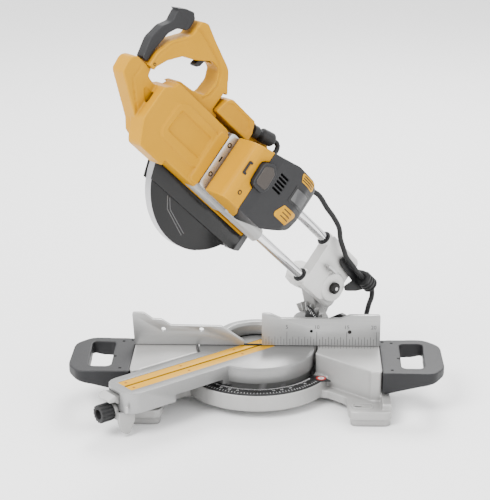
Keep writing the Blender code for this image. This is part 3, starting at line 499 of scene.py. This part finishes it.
dress("turntable", TABLE, 1.0)
dress("fence", FENCE, 0.6)
dress("mitre_scale_plate bevel_scale", BLACK, 0.3)
dress("gear_case", CAST, 0.8)
dress("mitre_latch_lever", CAST, 0.5)
dress("kerf_insert_right kerf_insert_left", YELLOW, 0.3)
dress("upper_rail lower_rail", CHROME, 0.6)
dress("pivot_bolt bevel_clamp_bolt slide_lock_knob motor_flange", ZINC, 0.5)
dress("stator motor_bearing layshaft_gears drive_gear saw_blade inner_flange outer_flange arbor_bearing",
        STEEL, 0)
dress("lift_spring", SPRING, 0)
dress("detent_pin hinge_pin arbor_spindle arbor_bolt", BLACK_STEEL, 0.4)
dress("rail_bush_upper_front rail_bush_upper_rear rail_bush_lower_front rail_bush_lower_rear", BLACK_STEEL,
        0.3)
dress("armature", COPPER, 0)
dress("lower_guard", GLOSS, 0.4)
dress("fixed_guard", GLOSS, 0.6)
dress("chip_deflector", GREY, 0.8)
dress("cable_guide spindle_lock_button bevel_lock_lever", BLACK, 0.8)
dress("mitre_lock_knob", RUBBER, 0.6)
dress("switch_cable_gland mains_plug", RUBBER, 0.6)


# ---- base ----


def build_base():
    softened("base_body", "base_casting", "base", CAST, 1.6, 4)
    for word, side in (("right", 1), ("left", -1)):
        softened(f"{word}_carry_handle", f"side_handle_{word}", "base", DARK, 1.3, 8)
        spots = ((211, 23), (226, 18), (234, -47), (221, -96))

        def holes(bm, side=side, spots=spots):
            for x, y in spots:
                prism(bm, rectangle(*sorted((side * (x - 2.4), side * (x + 2.4))), y - 2.4, y + 2.4, 0.8),
                        "Z", 74, 77.15)

        # black blocks in the carry handle's pockets: painted shade
        piece(f"{word}_carry_handle_pocket_shade", "base", PAINTED_SHADE_BLACK, WORLD, holes, 0.1)

        def ring(bm, side=side):
            outer = rectangle(*sorted((side * 155, side * 191)), -135, -114, 9)
            inner = rectangle(*sorted((side * 157.5, side * 188.5)), -132.5, -116.5, 7)
            frame_ring(bm, outer, inner, "Z", 25, 27)

        piece(f"{word}_foot_rim", "base", CAST, WORLD, ring, 0.5)


def build_ruler():
    """The ruler on the fence's right face: a mark each 5 mm and a number each 50 mm."""

    def marks(bm):
        for i in range(1, 41):
            x = 5.0 * i
            top = 104.0 if i % 10 == 0 else 95.0 if i % 2 == 0 else 91.0
            box(bm, (x - 0.35, x + 0.35), (0.12, 0.32), (80.0, top))

    piece("fence_ruler", "base", INK, WORLD, marks, 0)
    upright = Matrix.Rotation(math.radians(90), 4, "X")
    for value in (5, 10, 15, 20):
        x = value * 10 - (5 if value == 20 else 0)
        text(f"fence_number_{value}", "base", str(value), INK, Matrix.Translation((x, 0.25, 112)) @ upright,
                9.5)

    def table_marks(bm):
        for i in range(20, 40):
            x = 5.0 * i
            box(bm, (x - 0.3, x + 0.3), (-8.0 if i % 2 else -11.0, -0.5), (TABLE_Z - 0.1, TABLE_Z + 0.06))

    piece("table_ruler", "base", INK, WORLD, table_marks, 0)


def build_fence_fittings():
    # a black disc in the fence's hole: painted shade
    def hole(bm):
        turned(bm, [(0, -0.05), (2.6, -0.05), (2.6, 0.5), (0, 0.5)], "Y", (91, 105), 20)

    piece("fence_hole_shade", "base", PAINTED_SHADE_BLACK, WORLD, hole, 0.05)

    def screw(bm):
        turned(bm, [(0, -0.9), (2.6, -0.9), (3.2, -0.2), (3.2, 0.6), (0, 0.6)], "Y", (155, 104), 20)

    piece("fence_screw", "base", BLACK_STEEL, WORLD, screw, 0.2)

    # a black strip along the fence's foot: painted shadow in the gap between fence and table
    def shadow(bm):
        box(bm, (-97, 101), (1.2, 7), (78.25, 78.95))

    piece("fence_painted_shadow_strip", "base", PAINTED_SHADE_BLACK, WORLD, shadow, 0.1)

    # a black arc round the turntable's centre at the fence's bow: painted shade
    def seal(bm):
        turned(bm, [(46.2, 78.2), (49.6, 78.2), (49.6, 79.1), (46.2, 79.1)], "Z", (0, 0), 40, (22, 158))

    piece("fence_bow_painted_shade", "base", PAINTED_SHADE_BLACK, WORLD, seal, 0.15)


def polar(radius, degrees):
    """x and y of a point at that radius and angle."""
    return radius * math.cos(math.radians(degrees)), radius * math.sin(math.radians(degrees))


def build_mitre_scale():
    top = 45.0

    def marks(bm):
        for row, (inner, outer) in enumerate(((104.5, 107.5), (119.0, 123.0))):
            step = 1.0 if row == 0 else 2.5
            count = int(112 / step)
            for i in range(count + 1):
                angle = 214 + step * i
                reach = outer + (1.6 if row == 0 and i % 5 == 0 else 0)
                ends = [polar(r, angle + d) for r, d in ((inner, -0.14), (reach, -0.14), (reach, 0.14),
                        (inner, 0.14))]
                prism(bm, ends, "Z", top - 0.2, top + 0.08)

    piece("mitre_scale_marks", "base", PRINT, WORLD, marks, 0)
    for value in (45, 30, 22, 15, 0):
        for sign in (-1, 1):
            if value == 0 and sign > 0:
                continue
            angle = 270 + sign * value
            x, y = polar(113.2, angle)
            spin = Matrix.Translation((x, y, top)) @ Matrix.Rotation(math.radians(angle + 90), 4, "Z")
            word = "left" if sign < 0 else "right"
            text(f"mitre_number_{word}_{value}", "base", str(value), PRINT, spin, 5.2, 0.08)

    def sticker(bm):
        turned(bm, [(0, top - 0.1), (5.4, top - 0.1), (5.4, top + 0.12), (0, top + 0.12)], "Z",
                (107, -57.5), 28)

    def ring(bm):
        turned(bm, [(5.2, top - 0.1), (8.4, top - 0.1), (8.4, top + 0.16), (5.2, top + 0.16)], "Z",
                (107, -57.5), 28)

    def spot(bm):
        prism(bm, rectangle(105.2, 108.8, -58.6, -56.4, 0.8), "Z", top, top + 0.24)

    piece("sticker_field", "base", PRINT, WORLD, sticker, 0)
    piece("sticker_ring", "base", RED, WORLD, ring, 0)
    piece("sticker_spot", "base", RED, WORLD, spot, 0)

    def screws(bm):
        for x, y in ((87, -77), (-87, -77), (0, -113)):
            turned(bm, [(0, top - 1), (3.4, top - 1), (3.4, top + 0.6), (2.6, top + 1.1), (0, top + 1.1)],
                    "Z", (x, y), 18)

    piece("mitre_scale_screws", "base", BLACK_STEEL, WORLD, screws, 0.2)


build_base()
build_ruler()
build_fence_fittings()
build_mitre_scale()


# ---- turntable and hinge ----


def build_arm():
    softened("arm_bracket", "front_bracket", "turntable", CAST, 0.7, 4)

    def insert_screws(bm):
        for y in (-258, -150, -40):
            for x in (-11.5, 11.5):
                turned(bm, [(0, 77), (2.4, 77), (2.4, 77.7), (1.8, 77.9), (0, 77.9)], "Z", (x, y), 16)

    # the insert screws take the shaded copy of the yellow: painted shade
    piece("kerf_insert_screws", "turntable", SHADED_YELLOW, ARM, insert_screws, 0.1)

    # a black sheet low in the kerf slot: painted shade
    def well(bm):
        box(bm, (-2.1, 2.1), (-261, 20), (54, 54.6))

    piece("kerf_well_painted_shade", "turntable", PAINTED_SHADE_BLACK, ARM, well, 0.05)

    def marks(bm):
        for i in range(13):
            angle = 22 + 4.6 * i
            inner = 43 if i % 3 == 0 else 46
            ends = [polar(r, angle + d) for r, d in ((inner, -0.7), (50.5, -0.7), (50.5, 0.7), (inner, 0.7))]
            prism(bm, [(u, v + TABLE_Z) for u, v in ends], "Y", 100.45, 100.8)

    piece("bevel_scale_marks", "turntable", PRINT, ARM, marks, 0)

    def clip(bm):
        for x in (-31, 31):
            prism(bm, rectangle(x - 2.5, x + 2.5, 48, 60, 1.5), "Y", -288, -284.5)

    piece("arm_front_pads", "turntable", CAST, ARM, clip, 0.6)


def build_hinge():
    softened("hinge_support", "bevel_support", "bevel_support", CAST, 1.1, 5)
    softened("rail_carriage", "rail_carrier", "carrier", PALE, 1.1, 5)

    def ribs(bm):
        for i in range(6):
            u, v = polar(1.0, 52 + 15 * i)
            a, b = 36.0, 50.0
            side = (-v * 1.1, u * 1.1)
            ends = [(u * a - side[0], v * a - side[1]), (u * b - side[0], v * b - side[1])]
            ends += [(u * b + side[0], v * b + side[1]), (u * a + side[0], v * a + side[1])]
            prism(bm, [(p, q + TABLE_Z) for p, q in ends], "Y", 111, 119.5)

    piece("hinge_support_ribs", "bevel_support", CAST, ARM, ribs, 0.4)

    def seals(bm):
        for b in (56.0, -18.6):
            turned(bm, [(8.4, -67.4), (12.2, -67.4), (12.2, -65.9), (8.4, -65.9)], "Y", (27, b), 28)
            turned(bm, [(8.4, 21.9), (12.2, 21.9), (12.2, 23.4), (8.4, 23.4)], "Y", (27, b), 28)

    piece("rail_wipers", "carrier", BLACK, HEAD, seals, 0.4)

    def pin_face(bm):
        turned(bm, [(0, 50.6), (3.4, 50.6), (3.4, 51.7), (0, 51.7)], "X", (0, 0), 6)

    piece("hinge_pin_socket", "carrier", ZINC, HEAD, pin_face, 0.3)

    def guide_screws(bm):
        for y, b in ((-15, 45), (36, 51), (52, 50)):
            turned(bm, [(0, 46.5), (3.2, 46.5), (3.2, 48.2), (2.4, 49), (0, 49)], "X", (y, b), 18)

    piece("cable_guide_screws", "carrier", BLACK_STEEL, HEAD, guide_screws, 0.2)

    def guide_rings(bm):
        for y in (34, 41, 48, 55):
            turned(bm, [(12.3, y - 1.3), (13.6, y - 1.3), (13.6, y + 1.3), (12.3, y + 1.3)], "Y", (58, 44),
                    28)

    piece("cable_guide_rings", "carrier", BLACK, HEAD, guide_rings, 0.4)


build_arm()
build_hinge()


# ---- head ----


def build_cover():
    """The hood's moulded cover, the handle with its grooves, the trigger and the guard lever."""
    plateau = rounded([(-482, 46, 10), (-462, 55, 12), (-388, 53, 8), (-384, 40, 4), (-384, -8, 6),
                       (-398, -13, 8),
                       (-474, -11, 12), (-482, 0, 8)])
    panel = rounded([(-470, 41, 5), (-393, 41, 5), (-391, 3, 5), (-472, 3, 5)])
    triangle = rounded([(-538, 34, 3), (-506, 36, 3), (-507, 8, 3)])
    duct_panel = rounded([(-405, 86, 2), (-402, 100, 3), (-392, 107, 3), (-346, 107, 3), (-337, 96, 2),
                          (-337, 86, 2)])
    joins = [cutter(HEAD, lambda bm: prism(bm, plateau, "X", 41.5, 45.2)),
             cutter(HEAD, lambda bm: prism(bm, rounded([(-388, -30, 6), (-369, -30, 3), (-369, 62, 3),
                                                        (-388, 62, 6)]),
                                           "X", 40, 46.5))]
    cuts = [cutter(HEAD, lambda bm: prism(bm, panel, "X", 42.6, 50)),
            cutter(HEAD, lambda bm: prism(bm, triangle, "X", 20.2, 26)),
            cutter(HEAD, lambda bm: prism(bm, duct_panel, "X", 35.6, 42)),
            groove(HEAD, [(22, -560, 55), (22, -560, 30), (22, -508, -12), (22, -495, -24),
                          (22, -478, -28)], 1.6),
            groove(HEAD, [(7, -588, 52), (7, -585, 28), (7, -515, -15), (7, -500, -30), (7, -480, -33)], 0.9)]
    softened("blade_cover", "upper_guard", "head", YELLOW, 1.25, 7, cuts, joins)
    line = [(-549, 66), (-549, 84), (-540, 110), (-521, 132)]
    front = [(-557, 64), (-557, 86), (-547, 114), (-523, 142), (-523, 166)]
    back = [(-524, 154), (-507, 155), (-488, 151), (-452, 141), (-438, 131), (-429, 112), (-431, 92),
            (-440, 80)]
    cuts = [groove(HEAD, [(28.4, a, b) for a, b in back], 2.4),
            groove(HEAD, [(28.4, a, b) for a, b in line], 1.7),
            groove(HEAD, [(12, a, b) for a, b in front], 0.8)]
    softened("operating_handle", "main_handle", "head", YELLOW, 1.25, 7, cuts)
    softened("trigger_blade", "trigger", "trigger", DARK, 0.7, 4)
    softened("guard_lever", "guard_release_lever", "guard_release", DARK, 0.8, 8)


def screw_head(name, spots, r=4.2):
    """Sunk black screws seen from the right: each spot is (x of the face, y, z)."""

    def build(bm):
        for x, y, z in spots:
            turned(bm, [(0, x - 0.4), (r * 0.5, x - 0.4), (r * 0.62, x + 0.7), (r, x + 0.5), (r, x - 3),
                        (0, x - 3)], "X",
                   (y, z), 20)

    piece(name, "head", BLACK_STEEL, HEAD, build, 0.15)


def build_head_fittings():
    """Screws, the flange's slot in painted shade, and the lower guard's rim and ribs."""
    screw_head("flange_screws", ((46, -359, 52), (46, -359, -2)))
    screw_head("handle_screw", ((27.6, -546.5, 67),), 2.6)

    # a black patch in the flange's slot: painted shade
    def slot_mark(bm):
        prism(bm, rectangle(-360, -357.4, 21, 31, 1.0), "X", 45.8, 46.5)

    piece("flange_slot_shade", "head", PAINTED_SHADE_BLACK, HEAD, slot_mark, 0.1)

    def rim(bm):
        turned(bm, [(113.05, -7.2), (113.7, -7.2), (113.7, 7.2), (113.05, 7.2)], "X", (-322, -1), 60,
                (197, 300))

    piece("guard_rim_band", "lower_guard", STEEL, HEAD, rim, 0.2)

    def ribs(bm):
        for lift in (0.0, 5.5):
            route = [(-375 + lift, -64), (-361 + lift, -80 + lift * 0.4),
                     (-309 + lift * 0.4, -97 + lift * 0.8)]
            for (a, b), (c, d) in zip(route, route[1:]):
                along = Vector((c - a, d - b)).normalized()
                off = Vector((-along.y, along.x)) * 0.7
                ends = [(a - off.x, b - off.y), (c - off.x, d - off.y), (c + off.x, d + off.y),
                        (a + off.x, b + off.y)]
                prism(bm, ends, "X", 7.3, 8.3)

    piece("guard_ribs", "lower_guard", GREY, HEAD, ribs, 0.2)


def build_motor():
    """The motor's shells, vents, coloured inserts, blank plate, dome, loop and bosses."""
    vents = []
    for i in range(5):
        b = 35.5 + 6.2 * i
        vents.append(cutter(HEAD, lambda bm, b=b: prism(bm, rectangle(-288.5, -267, b - 1.7, b + 1.7, 1.2),
                                                        "X", 94, 125)))
    inserts = (("upper", rounded([(-252, 88, 3), (-213, 89, 4), (-203, 75, 4), (-243, 75, 3)]),
                (85.2, 81.7, 78.2), (-244, -212)),
               ("lower", rounded([(-247, 28, 4), (-206, 30, 4), (-222, 4, 5), (-260, 4, 5)]),
                       (23.5, 17.5, 11.5), (-243, -222)))
    softened("motor_cap_shell", "motor_end_cap", "head", DARK, 1.1, 6, vents)
    softened("motor_case_shell", "motor_housing", "head", YELLOW, 1.1, 6,
             [groove(HEAD, [(46, -340, 84), (70, -320, 84), (96, -315, 84)], 1.0)])
    shell = bpy.data.objects["motor_cap_shell"]
    for word, outline, slits, reach in inserts:
        patch_on(f"motor_insert_{word}", shell, YELLOW, outline, 0.55, 62, slits, reach)
    patch_on("motor_label_plate", shell, BLACK, rounded([(-247, 66, 2), (-204, 68, 2), (-201, 39, 2), (-247,
            37, 2)]), 0.5,
             62, (), (0, 0))
    patch_on("motor_label_field", shell, GREY, rounded([(-243, 62, 1.5), (-208, 64, 1.5), (-205, 43, 1.5),
                                                        (-243, 41, 1.5)]),
             0.9, 62, (), (0, 0))

    def dome(bm):
        prism(bm, rounded([(-327, 20, 5), (-304, 20, 5), (-301, 28, 3), (-303, 50, 4), (-313, 57, 5),
                           (-328, 50, 5)]), "X",
              106, 110.5)

    piece("motor_dome_cap", "head", BROWN, HEAD, dome, 2.0)

    def bracket(bm):
        frame_ring(bm, rectangle(-350, -338, 20, 43, 2.5), rectangle(-347, -341, 24, 39, 1.5), "X", 96.5,
                   99.5)

    piece("motor_loop", "head", BLACK, HEAD, bracket, 0.5)

    def bosses(bm):
        for x, y, b in ((80, -338, 64), (84, -335, -6)):
            turned(bm, [(0, x), (8, x), (7, x + 15), (6, x + 16.5), (0, x + 16.5)], "X", (y, b), 28)

    piece("motor_screw_bosses", "head", YELLOW, HEAD, bosses, 0.8)
    screw_head("motor_screws", ((96.6, -338, 64), (100.6, -335, -6)), 3.9)


def patch_on(name, source, finish, outline, lift, depth, slits, reach):
    """A thin plate that follows a shell's surface: the shell swollen by lift, cut to an outline."""
    mesh = source.data.copy()
    swollen = bpy.data.objects.new("swollen", mesh)
    bpy.context.scene.collection.objects.link(swollen)
    grow = swollen.modifiers.new("grow", "DISPLACE")
    grow.strength = lift * MM
    grow.mid_level = 0.0
    window = cutter(HEAD, lambda bm: prism(bm, outline, "X", depth, 125))
    keep = swollen.modifiers.new("keep", "BOOLEAN")
    keep.operation = "INTERSECT"
    keep.solver = "EXACT"
    keep.object = window
    tools = [window]
    for b in slits:
        line = rectangle(reach[0], reach[1], b - 0.9, b + 0.9, 0.7)
        slot_cut = cutter(HEAD, lambda bm, line=line: prism(bm, line, "X", depth - 5, 130))
        step = swollen.modifiers.new("slit", "BOOLEAN")
        step.operation = "DIFFERENCE"
        step.solver = "EXACT"
        step.object = slot_cut
        tools.append(slot_cut)
    result = evaluated_mesh(swollen)
    for one in (*tools, swollen):
        bpy.data.objects.remove(one)
    result.name = name
    result.shade_smooth()
    result.set_sharp_from_angle(angle=math.radians(40))
    made = mesh_object(name, result, finish, "head")
    return made


build_cover()
build_head_fittings()
build_motor()


# ---- cords ----

CORD_R = 4.25
UPPER_RUN = 85  # along the free cord to where the upper piece ends and the middle one starts
MIDDLE_RUN = 165  # and to where the middle piece ends and the lower one starts
COIL_CENTRE = Vector((74.0, 186.0, 0.0))


def smooth_line(points, count):
    """count points, evenly spaced, on a smooth curve through the route's own points."""
    route = [Vector(p) for p in points]
    ends = [2 * route[0] - route[1], *route, 2 * route[-1] - route[-2]]
    fine = []
    for i in range(1, len(ends) - 2):
        a, b, c, d = ends[i - 1 : i + 3]
        for k in range(20):
            t = k / 20
            fine.append(
                0.5
                * (2 * b + (c - a) * t + (2 * a - 5 * b + 4 * c - d) * t**2 + (3 * b - a - 3 * c + d) * t**3)
            )
    fine.append(route[-1])
    runs = [0.0]
    for p, q in zip(fine, fine[1:]):
        runs.append(runs[-1] + (q - p).length)
    made = []
    k = 0
    for i in range(count):
        want = runs[-1] * i / (count - 1)
        while k < len(runs) - 2 and runs[k + 1] < want:
            k += 1
        share = (want - runs[k]) / (runs[k + 1] - runs[k])
        made.append(fine[k].lerp(fine[k + 1], min(1.0, share)))
    return made


def run_length(points):
    """The length of the line through points."""
    return sum((q - p).length for p, q in zip(points, points[1:]))


def coil_points():
    """A little over five turns through six places, two across and three high.

    Each change of place starts 60 degrees earlier than the one before, and the last 60 degrees rise to clear
    the turns that the tail crosses.
    """
    near, far = 38.5, 47.1
    places = [(far, 4.5), (near, 4.5), (near, 13.1), (far, 13.1), (far, 21.7), (near, 21.7)]
    start = 33.0
    step = 10.0
    changes = [start + 360.0 * (i + 1) - 60.0 * i for i in range(5)]
    end = start + 360.0 * 6 - 60.0 * 5
    made = []
    for i in range(int((end - start) / step) + 1):
        angle = start + step * i
        r, z = places[0]
        for change, before, after in zip(changes, places, places[1:]):
            share = min(1.0, max(0.0, (angle - change) / 60.0))
            share = share * share * (3 - 2 * share)
            if share > 0:
                r = before[0] + (after[0] - before[0]) * share
                z = before[1] + (after[1] - before[1]) * share
        rise = min(1.0, max(0.0, (angle - end + 60.0) / 60.0))
        z += 8.8 * rise * rise * (3 - 2 * rise)
        x, y = polar(r, angle)
        made.append(COIL_CENTRE + Vector((x, y, z)))
    return made


def tube_piece(name, points, finish=RUBBER):
    """A cord-sized tube along points."""
    mesh = tube_mesh([p * MM for p in points], CORD_R * MM, 14)
    mesh.name = name
    made = mesh_object(name, mesh, finish)
    return made


def build_held_cord():
    """The cord that the saw holds, from the strain relief behind the handle to the guide on the carrier."""
    route = [(25, -274.6, 113.8), (26, -268, 115.3), (28, -262.5, 112), (29, -260.5, 104), (30, -261.5, 94)]
    route += [(31, -257, 84), (33.5, -245, 78.5), (34.5, -225, 78), (35.5, -203, 83), (37, -178, 90),
              (39, -154, 97)]
    route += [(42, -139.5, 98), (45, -113.5, 91.4), (48, -94.5, 87.6), (51, -72.5, 80), (53, -57.7, 67.3)]
    route += [(55, -38, 56.8), (56.5, -26, 50.5), (57.5, -2, 47), (58, 14, 44.5), (58, 30.6, 44)]
    made = tube_piece("switch_cable", smooth_line([HEAD @ Vector(p) for p in route], 80))
    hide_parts("motor_cord")
    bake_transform(made)


def cord_tie():
    """A strap round the whole section of the coil."""

    def strap(bm):
        frame_ring(bm, rectangle(33.0, 52.6, 0.05, 27.2, 4.0), rectangle(34.0, 51.6, 0.2, 26.2, 3.2), "Y",
                   -5, 5)

    turn = Matrix.Translation(COIL_CENTRE) @ Matrix.Rotation(math.radians(240), 4, "Z")
    return piece("cord_tie", "base", BLACK, turn, strap, 0.2)


def build_free_cord():
    """The mains cord from the guide to the bench, its stored coil, and the tail that ends in the plug."""
    guide = [HEAD @ Vector(p) for p in ((58, 57.3, 44), (58, 66, 40), (58, 75, 30), (58, 80, 15))]
    drop = [*guide, *(Vector(p) for p in ((184, 87, 84), (187, 103, 50), (185, 118, 22), (174, 132, 8),
                                          (152, 154, 4.6)))]
    loops = coil_points()
    lead = smooth_line([*drop, Vector((131, 185, 4.6)), loops[0], loops[1]], 60)[:-1]
    over = [(55, 225, 30.8), (37.2, 221.7, 30.4), (21.6, 212.6, 27), (10.5, 198.3, 21.5), (-0.6, 184.2, 18.4)]
    over += [(-16.2, 175.1, 17.6), (-27, 172.2, 17.5), (-34, 172, 17.5)]
    tail = smooth_line([loops[-2], loops[-1], *(Vector(p) for p in over)], 34)
    tail = [p for p in tail if p.x < loops[-1].x - 2]
    bench = [*lead, *loops, *tail]
    first = next(i for i, p in enumerate(lead) if run_length(lead[: i + 1]) > UPPER_RUN)
    second = next(i for i, p in enumerate(lead) if run_length(lead[: i + 1]) > MIDDLE_RUN)
    upper = lead[: first + 1]
    middle = lead[first : second + 1]
    lower = bench[second:]
    tie = cord_tie()
    for name, points, bodies, far_end, lay, pieces_on in (
        ("mains_cord_upper", upper, ("carrier", "bevel_support"), "object", "hanging", ()),
        ("mains_cord_middle", middle, ("bevel_support", "turntable"), "object", "hanging", ()),
        ("mains_cord_lower", lower, ("turntable", "base"), "plug", "coiled", ("mains_plug", tie)),
    ):
        made = tube_piece(name, points)
        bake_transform(made)
        if name == "mains_cord_lower":
            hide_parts("mains_cord", "cord_coil")


build_held_cord()
build_free_cord()

# ---- floor and light ----


def area_light(name, place, aim, size, power, colour=(1, 1, 1)):
    """A soft round lamp at place that shines at aim."""
    data = bpy.data.lights.new(name, "AREA")
    data.shape = "DISK"
    data.size = size
    data.energy = power
    data.color = colour
    lamp = bpy.data.objects.new(name, data)
    bpy.context.scene.collection.objects.link(lamp)
    lamp.location = place
    lamp.rotation_euler = (Vector(aim) - Vector(place)).to_track_quat("-Z", "Y").to_euler()
    return lamp


def build_studio():
    """White surroundings, a pale floor and three soft lamps."""
    world = bpy.data.worlds.new("studio")
    world.use_nodes = True
    world.node_tree.nodes["Background"].inputs["Color"].default_value = (1, 1, 1, 1)
    world.node_tree.nodes["Background"].inputs["Strength"].default_value = 2.0
    bpy.context.scene.world = world
    bm = bmesh.new()
    bmesh.ops.create_grid(bm, x_segments=1, y_segments=1, size=12)
    mesh = bpy.data.meshes.new("floor")
    bm.to_mesh(mesh)
    bm.free()
    floor = bpy.data.objects.new("floor", mesh)
    floor.location.z = -0.0005
    bpy.context.scene.collection.objects.link(floor)
    paint = bpy.data.materials.new("floor_white")
    paint.use_nodes = True
    paint.node_tree.nodes["Principled BSDF"].inputs["Base Color"].default_value = (0.9, 0.9, 0.9, 1)
    paint.node_tree.nodes["Principled BSDF"].inputs["Roughness"].default_value = 0.6
    mesh.materials.append(paint)
    area_light("key", (-1.6, -1.8, 2.6), (0, 0, 0.25), 1.6, 150)
    area_light("fill", (2.2, -1.6, 1.4), (0, 0, 0.25), 1.8, 30)
    area_light("back", (0.4, 2.0, 2.2), (0, 0, 0.3), 1.4, 90)


build_studio()
